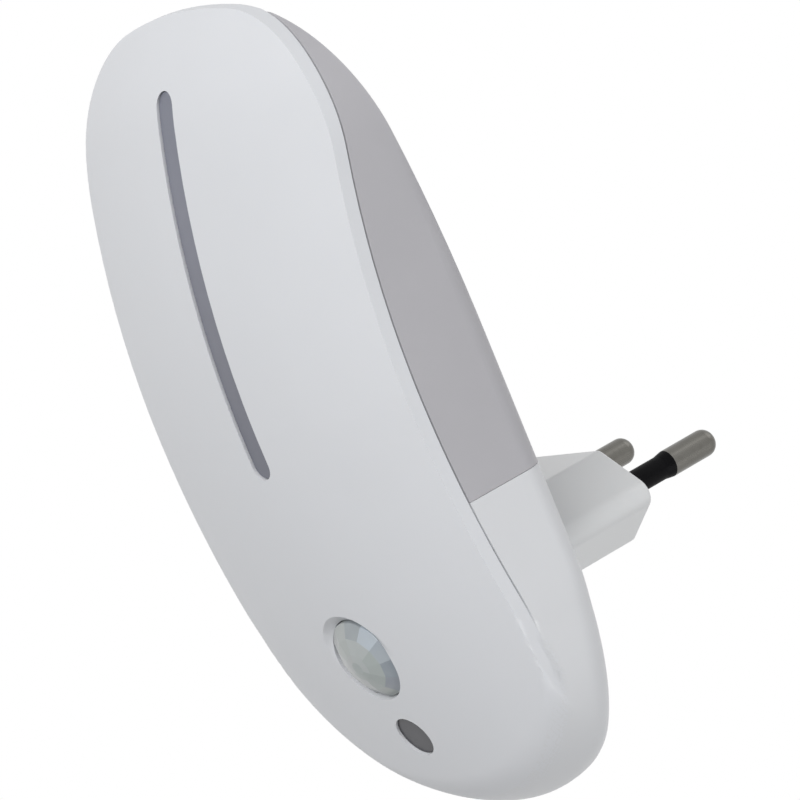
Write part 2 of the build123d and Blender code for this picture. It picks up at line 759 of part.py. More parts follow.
# ================================ LEDs ===============================================================
with BuildPart() as leds:
    for face, places, out in ((on_board(), led_front, 1), (on_board(False), led_back, -1)):
        with BuildSketch(face):
            with Locations(*places):
                Rectangle(led_wide, led_tall)
        extrude(amount=out * led_high)
        with BuildSketch(face.offset(out * led_high)):
            with Locations(*places):
                Circle(led_well_radius)
        extrude(amount=-out * led_well, mode=Mode.SUBTRACT)
save(leds, "leds")

# ================================ parts on the back of the control board ==============================
with BuildPart() as film_capacitor:
    with Locations((film_at[0], board_back + film_size[1] / 2, film_at[1])):
        Box(*film_size)
    fillet(film_capacitor.edges(), film_round)
save(film_capacitor, "film_capacitor")

with BuildPart() as electrolytic_capacitor:
    can_axis_y = board_back + can_cap_radius
    with BuildSketch(Plane.YZ.offset(can_cap_from)):
        with Locations((can_axis_y, can_cap_z)):
            Circle(can_cap_radius)
    extrude(amount=can_cap_length)
    fillet(electrolytic_capacitor.edges().filter_by(GeomType.CIRCLE), can_cap_round)
    with BuildSketch(Plane.XY.offset(can_cap_z)):
        with Locations((can_cap_from + can_cap_groove_x, board_back)):
            Circle(can_cap_groove)
    revolve(axis=Axis((0, can_axis_y, can_cap_z), (1, 0, 0)), mode=Mode.SUBTRACT)
save(electrolytic_capacitor, "electrolytic_capacitor")


def flat_package(centre, size, pitch, count, name):
    """Moulded package lying on the board, with a row of feet along both long sides."""
    with BuildPart() as package:
        with Locations((centre[0], board_back + package_stand + size[1] / 2, centre[1])):
            Box(*size)
        chamfer(package.faces().sort_by(Axis.Y)[-1].edges(), package_chamfer)
        for way in (-1, 1):
            for step in range(count):
                across = centre[0] + (step - (count - 1) / 2) * pitch
                with Locations((across, board_back, centre[1] + way * (size[2] / 2 + foot_reach))):
                    Box(*foot_size, align=(Align.CENTER, Align.MIN, Align.CENTER))
    save(package, name)


flat_package(bridge_at, bridge_size, bridge_pitch, 2, "bridge_rectifier")
flat_package(chip_at, chip_size, chip_pitch, 4, "controller_chip")

with BuildPart() as varistor:
    with BuildSketch(Plane.XZ.offset(-board_back)):
        with Locations(varistor_at):
            Circle(varistor_radius)
    extrude(amount=-varistor_thick)
    fillet(varistor.edges().filter_by(GeomType.CIRCLE), varistor_round)
save(varistor, "varistor")

with BuildPart() as fusible_resistor:
    rise = board_back + resistor_radius + resistor_stand
    with BuildSketch(Plane.YZ.offset(resistor_at[0] - resistor_length / 2)):
        with Locations((rise, resistor_at[1])):
            Circle(resistor_radius)
    extrude(amount=resistor_length)
    fillet(fusible_resistor.edges().filter_by(GeomType.CIRCLE), resistor_round)
    reach = resistor_length / 2 + resistor_lead
    for way in (-1, 1):
        with BuildLine(Plane.XY.offset(resistor_at[1])) as lead:
            FilletPolyline((resistor_at[0] + way * (resistor_length / 2 - resistor_lead_bend), rise),
                           (resistor_at[0] + way * reach, rise), (resistor_at[0] + way * reach, board_back),
                           radius=resistor_lead_bend)
        with BuildSketch(Plane(origin=lead.line @ 0, z_dir=lead.line % 0)):
            Circle(leg_radius)
        sweep(path=lead.line)
save(fusible_resistor, "fusible_resistor")

with BuildPart() as chip_parts:
    with BuildSketch(Plane.XZ.offset(-board_back)):
        with Locations(*chip_places):
            Rectangle(chip_part_size[0], chip_part_size[1])
    extrude(amount=-chip_part_size[2])
save(chip_parts, "chip_parts")

# ================================ screws =============================================================
def screws(places, seat_y, head, head_thick, shank, length, into, name):
    """Pan-head screws along Y; into is -1 when they are driven towards the front."""
    with BuildPart() as group:
        with BuildSketch(Plane.XZ.offset(-seat_y)):
            with Locations(*places):
                Circle(head / 2)
        extrude(amount=into * head_thick)
        rims = group.edges().group_by(Axis.Y)
        fillet(rims[-1] if into < 0 else rims[0], head_round)
        with BuildSketch(Plane.XZ.offset(-seat_y)):
            with Locations(*places):
                Circle(shank / 2)
        extrude(amount=-into * length)
        with BuildSketch(Plane.XZ.offset(-seat_y + into * head_thick)):
            with Locations(*places):
                Rectangle(head * cross_share, cross_slot)
                Rectangle(cross_slot, head * cross_share)
        extrude(amount=-into * cross_slot, mode=Mode.SUBTRACT)
    save(group, name)


screws(board_posts, board_back, board_head, board_head_thick, board_screw, board_screw_length, -1,
       "board_screws")
screws(case_screws, back_y - case_seat, case_head, case_head_thick, case_screw, case_screw_length, -1,
       "housing_screws")
screws(plug_screws, plug_end_y, plug_head, plug_head_thick, plug_screw, plug_screw_length, 1,
       "plug_screws")
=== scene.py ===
import math
import bpy
import numpy as np
from mathutils import Matrix, Vector


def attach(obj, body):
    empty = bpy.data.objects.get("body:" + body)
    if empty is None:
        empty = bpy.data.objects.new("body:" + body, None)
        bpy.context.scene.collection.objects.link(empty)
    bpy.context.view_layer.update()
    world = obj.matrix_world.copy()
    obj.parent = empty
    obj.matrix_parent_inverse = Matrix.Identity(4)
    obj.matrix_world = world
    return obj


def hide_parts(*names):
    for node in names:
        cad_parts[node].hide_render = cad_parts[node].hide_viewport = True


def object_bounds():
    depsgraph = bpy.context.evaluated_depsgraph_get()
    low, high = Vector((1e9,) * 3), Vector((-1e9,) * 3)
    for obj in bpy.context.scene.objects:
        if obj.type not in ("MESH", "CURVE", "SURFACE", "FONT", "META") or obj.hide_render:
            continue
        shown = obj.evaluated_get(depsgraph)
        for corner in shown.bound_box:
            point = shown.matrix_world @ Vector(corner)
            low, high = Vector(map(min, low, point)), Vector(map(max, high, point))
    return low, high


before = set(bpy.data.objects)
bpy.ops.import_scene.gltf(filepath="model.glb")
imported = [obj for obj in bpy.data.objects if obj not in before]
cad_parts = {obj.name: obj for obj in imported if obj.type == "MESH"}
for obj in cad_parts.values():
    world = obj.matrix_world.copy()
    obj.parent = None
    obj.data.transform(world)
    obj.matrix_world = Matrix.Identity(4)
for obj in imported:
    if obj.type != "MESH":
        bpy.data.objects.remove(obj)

cadLow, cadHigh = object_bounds()
mm = 0.001
print("frame loaded:", len(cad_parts), "nodes")


class Wire:
    # one output socket, so that shader maths reads as plain sums
    def __init__(self, finish, socket):
        self.finish = finish
        self.socket = socket

    def sum(self, operation, first, second=0.0):
        return self.finish.add("Math", {"operation": operation}, {0: first, 1: second})["Value"]

    def __add__(self, other):
        return self.sum("ADD", self, other)

    def __radd__(self, other):
        return self.sum("ADD", other, self)

    def __mul__(self, other):
        return self.sum("MULTIPLY", self, other)

    def __rmul__(self, other):
        return self.sum("MULTIPLY", other, self)


class Made:
    # a finished node, asked for its outputs by name
    def __init__(self, finish, node):
        self.finish = finish
        self.node = node

    def __getitem__(self, name):
        return Wire(self.finish, self.node.outputs[name])


class Finish:
    def __init__(self, name):
        self.material = bpy.data.materials.new(name)
        self.material.use_nodes = True
        self.tree = self.material.node_tree
        self.tree.nodes.clear()
        self.place = self.add("TexCoord")["Object"]

    def add(self, kind, settings=None, sockets=None):
        node = self.tree.nodes.new("ShaderNode" + kind)
        for name, value in (settings or {}).items():
            if name == "stops":
                self.setStops(node.color_ramp, value)
            else:
                setattr(node, name, value)
        for name, value in (sockets or {}).items():
            if isinstance(value, Wire):
                self.tree.links.new(value.socket, node.inputs[name])
            else:
                node.inputs[name].default_value = value
        return Made(self, node)

    def setStops(self, ramp, stops):
        while len(ramp.elements) < len(stops):
            ramp.elements.new(1.0)
        for element, (position, colour) in zip(ramp.elements, stops):
            element.position = position
            element.color = colour

    def noise(self, size, detail=3.0, roughness=0.5):
        # size is the width of the spots in metres
        return self.add("TexNoise", {}, {"Vector": self.place, "Scale": 1 / size, "Detail": detail,
                                         "Roughness": roughness})["Fac"]

    def stretched(self, size):
        # noise drawn out along some axes: size is the width of a spot along X, Y and Z
        scaled = self.add("Mapping", {}, {"Vector": self.place, "Scale": [1 / s for s in size]})["Vector"]
        return self.add("TexNoise", {}, {"Vector": scaled, "Scale": 1.0, "Detail": 4.0})["Fac"]

    def along(self, axis):
        return self.add("SeparateXYZ", {}, {"Vector": self.place})[axis]

    def ramp(self, wire, stops):
        return self.add("ValToRGB", {"stops": stops}, {"Fac": wire})["Color"]

    def spread(self, wire, low, high, toLow=0.0, toHigh=1.0):
        return self.add("MapRange", {}, {"Value": wire, "From Min": low, "From Max": high, "To Min": toLow,
                                         "To Max": toHigh})["Result"]

    def blend(self, factor, first, second):
        made = self.add("Mix", {"data_type": "RGBA"}, {"Factor": factor})
        for name, colour in (("A", first), ("B", second)):
            socket = next(i for i in made.node.inputs if i.name == name and i.type == "RGBA")
            if isinstance(colour, Wire):
                self.tree.links.new(colour.socket, socket)
            else:
                socket.default_value = colour
        return Wire(self, next(o for o in made.node.outputs if o.type == "RGBA"))

    def bump(self, height, strength, depth):
        return self.add("Bump", {}, {"Height": height, "Strength": strength, "Distance": depth})["Normal"]

    def finish(self, **sockets):
        named = {name.replace("_", " "): value for name, value in sockets.items()}
        shader = self.add("BsdfPrincipled", {}, named)["BSDF"]
        self.add("OutputMaterial", {}, {"Surface": shader})
        return self.material


def tint(red, green, blue):
    return (red, green, blue, 1.0)


def mouldedPlastic(name, colour, shade, roughness, coat, grain):
    # satin moulded plastic: a fine spark-eroded grain, faint flow clouds and a touch of handling gloss
    f = Finish(name)
    clouds = f.noise(18 * mm, 2.0)
    specks = f.noise(0.5 * mm, 4.0, 0.6)
    base = f.blend(f.spread(clouds, 0.3, 0.7), tint(*shade), tint(*colour))
    rough = f.spread(clouds + specks * 0.35, 0.45, 0.9, roughness - 0.04, roughness + 0.05)
    return f.finish(Base_Color=base, Roughness=rough, Coat_Weight=coat, Coat_Roughness=0.25,
                    Normal=f.bump(f.noise(grain, 3.0, 0.55), 0.06, 0.03 * mm),
                    Subsurface_Weight=0.06, Subsurface_Radius=(1.0, 0.9, 0.8), Subsurface_Scale=0.4 * mm)


def frostedPlastic(name, colour, shade, roughness, subsurface):
    # milky plastic that light soaks into, as on a diffuser
    f = Finish(name)
    clouds = f.noise(14 * mm, 2.0)
    base = f.blend(f.spread(clouds, 0.3, 0.7), tint(*shade), tint(*colour))
    rough = f.spread(f.noise(0.6 * mm, 3.0), 0.3, 0.7, roughness - 0.05, roughness + 0.05)
    return f.finish(Base_Color=base, Roughness=rough, Subsurface_Weight=subsurface,
                    Subsurface_Radius=(1.0, 1.0, 1.1), Subsurface_Scale=1.2 * mm,
                    Normal=f.bump(f.noise(0.4 * mm, 3.0), 0.05, 0.02 * mm))


def stripPlastic():
    # frosted strip in the slit: cool grey, with painted shade of the slit's recess making it darker towards
    # its ends, most at the lower one
    f = Finish("stripPlastic")
    height = f.spread(f.along("Z"), 24 * mm, 77 * mm)
    # painted shade: the ramp darkens the strip towards both ends of the slit, most at the lower one
    coolWithRecessShade = f.ramp(height, [(0.0, tint(0.150, 0.156, 0.19)), (0.25, tint(0.175, 0.18, 0.215)),
                           (0.7, tint(0.205, 0.212, 0.255)), (1.0, tint(0.18, 0.19, 0.235))])
    clouds = f.spread(f.noise(3 * mm, 2.0), 0.3, 0.7, 0.0, 0.12)
    return f.finish(Base_Color=f.blend(clouds, coolWithRecessShade, tint(0.25, 0.262, 0.31)), Roughness=0.42,
                    Subsurface_Weight=0.15, Subsurface_Radius=(1.0, 1.0, 1.1), Subsurface_Scale=0.5 * mm,
                    Normal=f.bump(f.noise(0.35 * mm, 3.0), 0.08, 0.02 * mm))


def nickelPlate():
    # drawn pin, nickel plated: fine scratches run along it, and faint turning marks round it
    f = Finish("nickelPlate")
    drawn = f.stretched((0.15 * mm, 5 * mm, 0.15 * mm))
    rings = f.stretched((4 * mm, 0.10 * mm, 4 * mm))
    wear = f.spread(f.noise(1.4 * mm, 4.0, 0.6), 0.45, 0.75)
    base = f.blend(wear * 0.5, tint(0.16, 0.155, 0.142), tint(0.125, 0.12, 0.108))
    rough = f.spread(drawn * 0.6 + rings * 0.4, 0.3, 0.7, 0.24, 0.34)
    return f.finish(Base_Color=base, Metallic=1.0, Roughness=rough,
                    Normal=f.bump(drawn * 0.7 + rings * 0.3, 0.05, 0.012 * mm))


def sleeveBlack():
    f = Finish("sleeveBlack")
    specks = f.noise(0.3 * mm, 4.0)
    base = f.blend(f.spread(specks, 0.3, 0.8), tint(0.003, 0.003, 0.0035), tint(0.006, 0.006, 0.007))
    rough = f.spread(specks, 0.3, 0.7, 0.40, 0.52)
    return f.finish(Base_Color=base, Specular_IOR_Level=0.05, Roughness=rough,
                    Normal=f.bump(specks, 0.10, 0.02 * mm))


def windowPlastic():
    # dark cap over the light sensor, lighter in the middle and darker towards its edge, where painted shade
    # stands for the shadow of the rim
    f = Finish("windowPlastic")
    away = f.add("Mapping", {}, {"Vector": f.place, "Location": (0, 0, 18.0 * mm)})["Vector"]
    flat = f.add("VectorMath", {"operation": "MULTIPLY"}, {0: away, 1: (1, 0, 1)})["Vector"]
    reach = f.add("VectorMath", {"operation": "LENGTH"}, {0: flat})["Value"]
    # painted shade: the tone darkens from the middle of the cap out to its edge
    toneAndRimShade = [(0.0, tint(0.062, 0.062, 0.072)), (0.8, tint(0.048, 0.048, 0.056)),
              (1.0, tint(0.04, 0.04, 0.045))]
    rough = f.spread(f.noise(0.8 * mm), 0.3, 0.7, 0.16, 0.24)
    return f.finish(Base_Color=f.ramp(f.spread(reach, 0, 3.2 * mm), toneAndRimShade), Specular_IOR_Level=0.35,
                    Roughness=rough, Normal=f.bump(f.noise(1.5 * mm), 0.04, 0.03 * mm))


def solderMask():
    # green board with copper tracks under its lacquer
    f = Finish("solderMask")
    turned = f.add("Mapping", {}, {"Vector": f.place, "Scale": (1, 0, 1)})["Vector"]
    brick = f.add("TexBrick", {"offset": 0.5}, {"Vector": f.add("Mapping", {}, {
        "Vector": turned, "Rotation": (math.radians(90), 0, 0)})["Vector"], "Scale": 1.0,
        "Mortar Size": 0.25 * mm, "Brick Width": 6.5 * mm, "Row Height": 1.9 * mm})["Fac"]
    base = f.blend(brick, tint(0.012, 0.085, 0.032), tint(0.04, 0.20, 0.08))
    return f.finish(Base_Color=base, Roughness=0.32, Coat_Weight=0.3,
                    Normal=f.bump(brick, 0.2, 0.03 * mm))


def plainFinish(name, colour, shade, roughness, metallic, size, depth):
    # small bought-in part: two close tones and a little grain
    f = Finish(name)
    spots = f.noise(size, 3.0)
    base = f.blend(f.spread(spots, 0.3, 0.7), tint(*shade), tint(*colour))
    return f.finish(Base_Color=base, Metallic=metallic,
                    Roughness=f.spread(spots, 0.3, 0.7, roughness - 0.05, roughness + 0.05),
                    Normal=f.bump(spots, 0.15, depth))


def ledFinish():
    # pale body and yellow phosphor, mottled together
    f = Finish("ledFinish")
    spots = f.noise(0.3 * mm)
    base = f.blend(f.spread(spots, 0.4, 0.6), tint(0.85, 0.80, 0.45), tint(0.88, 0.86, 0.70))
    return f.finish(Base_Color=base, Roughness=0.35, Normal=f.bump(spots, 0.1, 0.02 * mm))


def lensPlastic():
    # milky lens: each facet carries its own tone, with painted light and shade in it
    f = Finish("lensPlastic")
    tone = f.add("Attribute", {"attribute_name": "facetTone"})["Color"]
    clouds = f.spread(f.noise(2.2 * mm, 2.0), 0.3, 0.7, 0.0, 0.25)
    return f.finish(Base_Color=f.blend(clouds, tone, tint(0.38, 0.405, 0.41)), Roughness=0.3,
                    Coat_Weight=0.2, Coat_Roughness=0.15,
                    Subsurface_Weight=0.15, Subsurface_Radius=(1.0, 1.0, 1.0), Subsurface_Scale=0.5 * mm,
                    Normal=f.bump(f.noise(0.5 * mm, 2.0), 0.04, 0.02 * mm))


coverPlastic = mouldedPlastic("coverPlastic", (0.705, 0.72, 0.75), (0.69, 0.705, 0.735), 0.46, 0.08,
                              0.22 * mm)
housingPlastic = mouldedPlastic("housingPlastic", (0.69, 0.702, 0.725), (0.675, 0.687, 0.71), 0.40, 0.12,
                                0.22 * mm)
plugPlastic = mouldedPlastic("plugPlastic", (0.755, 0.767, 0.777), (0.735, 0.747, 0.757), 0.32, 0.2, 0.3 * mm)
diffuserPlastic = frostedPlastic("diffuserPlastic", (0.46, 0.455, 0.48), (0.44, 0.435, 0.46), 0.42, 0.2)
innerPlastic = mouldedPlastic("innerPlastic", (0.78, 0.78, 0.77), (0.76, 0.76, 0.75), 0.5, 0.0, 0.3 * mm)
zincSteel = plainFinish("zincSteel", (0.60, 0.61, 0.63), (0.50, 0.51, 0.53), 0.32, 1.0, 0.8 * mm, 0.02 * mm)
strapBrass = plainFinish("strapBrass", (0.72, 0.50, 0.20), (0.62, 0.42, 0.16), 0.30, 1.0, 1.2 * mm, 0.02 * mm)
linkTin = plainFinish("linkTin", (0.70, 0.69, 0.66), (0.60, 0.59, 0.56), 0.28, 1.0, 0.5 * mm, 0.02 * mm)
sensorCan = plainFinish("sensorCan", (0.62, 0.58, 0.50), (0.54, 0.50, 0.43), 0.30, 1.0, 1.0 * mm, 0.02 * mm)
filterDark = plainFinish("filterDark", (0.05, 0.045, 0.05), (0.03, 0.028, 0.03), 0.15, 0.0, 1.0 * mm,
                         0.01 * mm)
sensorEpoxy = plainFinish("sensorEpoxy", (0.45, 0.45, 0.47), (0.38, 0.38, 0.40), 0.15, 0.0, 1.0 * mm,
                          0.01 * mm)
filmEpoxy = plainFinish("filmEpoxy", (0.42, 0.10, 0.04), (0.34, 0.07, 0.03), 0.28, 0.0, 1.2 * mm, 0.04 * mm)
canSleeve = plainFinish("canSleeve", (0.02, 0.025, 0.07), (0.012, 0.016, 0.05), 0.30, 0.0, 2.0 * mm,
                        0.02 * mm)
packageBlack = plainFinish("packageBlack", (0.022, 0.022, 0.022), (0.014, 0.014, 0.014), 0.55, 0.0, 0.2 * mm,
                           0.02 * mm)
varistorBlue = plainFinish("varistorBlue", (0.03, 0.12, 0.36), (0.02, 0.09, 0.28), 0.4, 0.0, 0.8 * mm,
                           0.05 * mm)
resistorGreen = plainFinish("resistorGreen", (0.17, 0.30, 0.20), (0.13, 0.24, 0.16), 0.6, 0.0, 0.4 * mm,
                            0.03 * mm)
chipCeramic = plainFinish("chipCeramic", (0.46, 0.33, 0.20), (0.36, 0.25, 0.15), 0.4, 0.0, 0.4 * mm,
                          0.02 * mm)
print("finishes made")

nodeFinishes = {
    "front_cover": coverPlastic, "back_housing": housingPlastic, "plug_body": plugPlastic,
    "rear_diffuser": diffuserPlastic, "light_strip": stripPlastic(), "light_window": windowPlastic(),
    "light_box": innerPlastic, "lens_holder": innerPlastic, "motion_sensor": sensorCan,
    "motion_filter": filterDark, "light_sensor": sensorEpoxy, "control_board": solderMask(),
    "board_links": linkTin, "leds": ledFinish(), "film_capacitor": filmEpoxy,
    "electrolytic_capacitor": canSleeve, "bridge_rectifier": packageBlack, "controller_chip": packageBlack,
    "varistor": varistorBlue, "fusible_resistor": resistorGreen, "chip_parts": chipCeramic,
    "board_screws": zincSteel, "housing_screws": zincSteel, "plug_screws": zincSteel,
}
nodeFinishes["led_board"] = nodeFinishes["control_board"]
nickel = nickelPlate()
black = sleeveBlack()
for side in ("left", "right"):
    nodeFinishes["contact_pin_" + side] = nickel
    nodeFinishes["pin_sleeve_" + side] = black
    nodeFinishes["contact_strap_" + side] = strapBrass

lensFinish = lensPlastic()
nodeFinishes["motion_lens"] = lensFinish
for name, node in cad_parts.items():
    node.data.materials.clear()
    node.data.materials.append(nodeFinishes[name])
print("CAD nodes dressed")

# lengths in millimetres: the shell's own bow, crown and sides, then the roundings of its lower end
softEnd = {"bow": 180.0, "frontY": -46.0, "frontZ": 29.5, "crown": 95.0, "sideHalf": 32.1, "sideZ": -28.1,
           "sideFlare": -1.3 / 106.6, "squeeze": 0.77, "reach": 63.76, "backY": -23.4, "planBlend": 14.0,
           "frontBlend": 12.05, "frontFrom": -8.7, "frontTo": -33.5, "backBlendAbove": 4.7, "backBlend": 5.9,
           "backFrom": 1.0, "backTo": -22.0, "startZ": 2.0, "fullZ": -6.0, "skin": 0.8,
           "shadowGap": (2.3, 4.0), "gapSlack": 0.1, "closeBy": 0.26, "closeFrom": -12.0, "closeTo": -20.0,
           # how the copy is worked: outerDepth and outerTurn find the outer faces of this shell only
           "merge": 0.002, "finest": 1.0, "passes": 7, "slides": 5, "step": 0.01, "flattest": 0.2,
           "outerDepth": 2.05, "outerTurn": 0.3, "workAbove": 4.0, "shadeOver": 3.0,
           "creaseAngle": math.radians(32), "perMetre": 1000}


def ease(value, start, end):
    share = np.clip((value - start) / (end - start), 0.0, 1.0)
    return share * share * (3 - 2 * share)


def smoothMax(first, second, reach):
    # the greater of two depths, with the corner between them rounded over the reach
    near = np.clip(1 - np.abs(first - second) / np.maximum(reach, 1e-6), 0.0, 1.0)
    return np.maximum(first, second) + near * near * reach / 4


def faceDepth(p, e):
    # how far a point stands in front of the bowed and crowned face
    drop = e["crown"] - np.sqrt(e["crown"] ** 2 - p[:, 0] ** 2)
    return np.hypot(p[:, 1] - e["frontY"] - e["bow"], p[:, 2] - e["frontZ"]) - e["bow"] + drop


def softDepth(p, e):
    # how far a point stands outside the rounded lower end
    across = np.abs(p[:, 0])
    side = across - e["sideHalf"] - e["sideFlare"] * (p[:, 2] - e["sideZ"])
    down = p[:, 2] - e["frontZ"]
    radius = np.hypot(across / e["squeeze"], down)
    pebble = (radius - e["reach"]) * radius / np.hypot(across / e["squeeze"] ** 2, down)
    plan = smoothMax(side, pebble, e["planBlend"])
    front = smoothMax(faceDepth(p, e), plan, e["frontBlend"] * ease(p[:, 2], e["frontFrom"], e["frontTo"]))
    melt = ease(p[:, 2], e["backFrom"], e["backTo"])
    backReach = e["backBlendAbove"] + (e["backBlend"] - e["backBlendAbove"]) * melt
    return smoothMax(front, p[:, 1] - e["backY"], backReach)


def slopeOf(p, e):
    # which way the depth grows at each point, and how fast
    slope = np.zeros_like(p)
    for axis in range(3):
        shift = np.zeros(3)
        shift[axis] = e["step"]
        slope[:, axis] = (softDepth(p + shift, e) - softDepth(p - shift, e)) / (2 * e["step"])
    return slope


def onto(p, level, e):
    # slides points along the slope until they lie at the wanted depth
    for _ in range(e["slides"]):
        slope = slopeOf(p, e)
        length = np.maximum((slope ** 2).sum(axis=1), e["flattest"])
        p = p - slope * ((softDepth(p, e) - level) / length)[:, None]
    return p


def vectorsOf(items, name):
    # x, y and z of every item, one row each
    held = np.zeros(len(items) * 3)
    items.foreach_get(name, held)
    return held.reshape(-1, 3)


def pointsOf(mesh, e):
    # the mesh is in metres, the soft end in millimetres
    return vectorsOf(mesh.vertices, "co") * e["perMetre"]


def copyShell(node, name, e):
    # a merged copy of a drawn shell, which remembers how each of its corners was shaded
    bpy.ops.object.select_all(action="DESELECT")
    piece = node.copy()
    piece.data = node.data.copy()
    bpy.context.scene.collection.objects.link(piece)
    piece.name = name
    piece.select_set(True)
    bpy.context.view_layer.objects.active = piece
    drawn = vectorsOf(piece.data.corner_normals, "vector")
    held = piece.data.attributes.new("drawnNormal", "FLOAT_VECTOR", "CORNER")
    held.data.foreach_set("vector", drawn.ravel())
    bpy.ops.mesh.customdata_custom_splitnormals_clear()
    bpy.ops.object.mode_set(mode="EDIT")
    bpy.ops.mesh.select_all(action="SELECT")
    bpy.ops.mesh.remove_doubles(threshold=e["merge"] * mm)
    bpy.ops.object.mode_set(mode="OBJECT")
    return piece


def refine(piece, e):
    # splits the long edges near the skin of the lower end, so that its roundings have enough faces
    for _ in range(e["passes"]):
        mesh = piece.data
        p = pointsOf(mesh, e)
        ends = np.zeros(len(mesh.edges) * 2, dtype=int)
        mesh.edges.foreach_get("vertices", ends)
        ends = ends.reshape(-1, 2)
        tooLong = np.linalg.norm(p[ends[:, 0]] - p[ends[:, 1]], axis=1) > e["finest"]
        nearSkin = (softDepth(p, e)[ends] > -e["outerDepth"]).all(axis=1)
        low = (p[ends][:, :, 2] < e["startZ"] + e["workAbove"]).any(axis=1)
        chosen = tooLong & nearSkin & low
        if not chosen.any():
            break
        mesh.polygons.foreach_set("select", np.zeros(len(mesh.polygons), dtype=bool))
        mesh.vertices.foreach_set("select", np.zeros(len(mesh.vertices), dtype=bool))
        mesh.edges.foreach_set("select", chosen)
        bpy.ops.object.mode_set(mode="EDIT")
        bpy.ops.mesh.select_mode(type="EDGE")
        bpy.ops.mesh.subdivide(number_cuts=1)
        bpy.ops.mesh.select_all(action="SELECT")
        bpy.ops.mesh.quads_convert_to_tris()
        bpy.ops.object.mode_set(mode="OBJECT")


def outerPoints(mesh, p, behind, e, closes):
    # the points of faces that look out of the lower end; the floor of the shadow gap isn't one of them
    depth = softDepth(p, e)
    slope = slopeOf(p, e)
    outer = np.zeros(len(p), dtype=bool)
    for face in mesh.polygons:
        corners = list(face.vertices)
        if closes and behind[corners].min() < e["shadowGap"][0] - e["gapSlack"]:
            continue
        tooHigh = p[corners, 2].max() >= e["startZ"] + e["workAbove"]
        if tooHigh or depth[corners].min() <= -e["outerDepth"]:
            continue
        if np.dot(slope[corners].mean(axis=0), face.normal) > e["outerTurn"]:
            outer[corners] = True
    return outer


def meltPoints(mesh, e, closes):
    # outer points go onto the rounded end, and inner ones that are too near are pushed in under its skin
    p = pointsOf(mesh, e)
    behind = -faceDepth(p, e)
    outer = outerPoints(mesh, p, behind, e, closes)
    moved = p.copy()
    if closes:
        # the shadow gap narrows to a hairline as the end melts away
        near, far = e["shadowGap"]
        share = np.clip((far - behind) / (far - near), 0.0, 1.0) * (behind > near)
        moved[:, 1] -= e["closeBy"] * share * ease(p[:, 2], e["closeFrom"], e["closeTo"])
    outside = onto(moved, 0.0, e)
    inside = onto(moved, -e["skin"], e)
    tooNear = softDepth(moved, e) > -e["skin"]
    low = p[:, 2] < e["startZ"]
    share = ease(p[:, 2], e["startZ"], e["fullZ"])[:, None]
    pushed = np.where((tooNear & ~outer & low)[:, None], moved + (inside - moved) * share, moved)
    return np.where((outer & low)[:, None], moved + (outside - moved) * share, pushed)


def blendShading(mesh, e):
    # above the soft end the shading stays as drawn
    new = vectorsOf(mesh.corner_normals, "vector")
    drawn = vectorsOf(mesh.attributes["drawnNormal"].data, "vector")
    ends = np.zeros(len(mesh.loops), dtype=int)
    mesh.loops.foreach_get("vertex_index", ends)
    above = ease(pointsOf(mesh, e)[ends, 2], e["startZ"], e["startZ"] + e["shadeOver"])[:, None]
    mixed = drawn * above + new * (1 - above)
    mesh.normals_split_custom_set(mixed / np.linalg.norm(mixed, axis=1)[:, None])


def softenEnd(node, name, e, closes):
    piece = copyShell(node, name, e)
    refine(piece, e)
    melted = meltPoints(piece.data, e, closes)
    piece.data.vertices.foreach_set("co", (melted / e["perMetre"]).ravel())
    piece.data.update()
    bpy.ops.object.shade_smooth_by_angle(angle=e["creaseAngle"])
    blendShading(piece.data, e)
    return piece


for nodeName, pieceName, slotName, closes in (("front_cover", "soft_cover", "front_cover", False),
                                              ("back_housing", "soft_housing", "back_housing", True)):
    shell = softenEnd(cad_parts[nodeName], pieceName, softEnd, closes)
    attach(shell, "root")
    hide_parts(nodeName)
    print(pieceName, "made:", len(shell.data.polygons), "faces")

# the motion lens
lensPlan = {"height": -5.3 * mm, "bow": softEnd["bow"] * mm, "bowFront": softEnd["frontY"] * mm,
            "bowHeight": softEnd["frontZ"] * mm, "floorDepth": 1.0 * mm, "seat": 2.35 * mm,
            "radius": 6.2 * mm, "petals": 12, "rimSides": 96, "flange": 7.4 * mm, "flangeThick": 0.8 * mm,
            "edge": 0.07 * mm, "trimLength": 20 * mm, "facing": 0.99, "hair": 0.01 * mm,
            "bevelOver": math.radians(6), "shadeOver": math.radians(4), "outerShare": 0.99,
            "innerShare": 0.93,
            # radius and height above the bezel floor of the corners of each ring of facets
            "rings": [(6.75 * mm, 0.0), (4.35 * mm, 1.45 * mm), (2.2 * mm, 2.1 * mm), (1.0 * mm, 2.3 * mm)],
            # painted light and shade of the facets: each tone is fixed for its facet, some lighter, some
            # darker
            "outerTones": [(0.30, 0.33, 0.35), (0.43, 0.48, 0.53), (0.34, 0.38, 0.42), (0.25, 0.285, 0.325),
                           (0.27, 0.295, 0.34), (0.30, 0.33, 0.32), (0.31, 0.33, 0.33), (0.33, 0.335, 0.345),
                           (0.35, 0.355, 0.365), (0.36, 0.37, 0.375), (0.37, 0.385, 0.385),
                           (0.36, 0.385, 0.38)],
            "innerTones": [(0.41, 0.44, 0.44), (0.36, 0.40, 0.39), (0.33, 0.37, 0.36), (0.38, 0.40, 0.405),
                           (0.40, 0.42, 0.42), (0.37, 0.40, 0.39)],
            "centreTone": (0.34, 0.38, 0.375)}


def selectFaces(mesh, wanted):
    for face in mesh.polygons:
        face.select = wanted(face)
    for edge in mesh.edges:
        edge.select = False
    for vertex in mesh.vertices:
        vertex.select = False


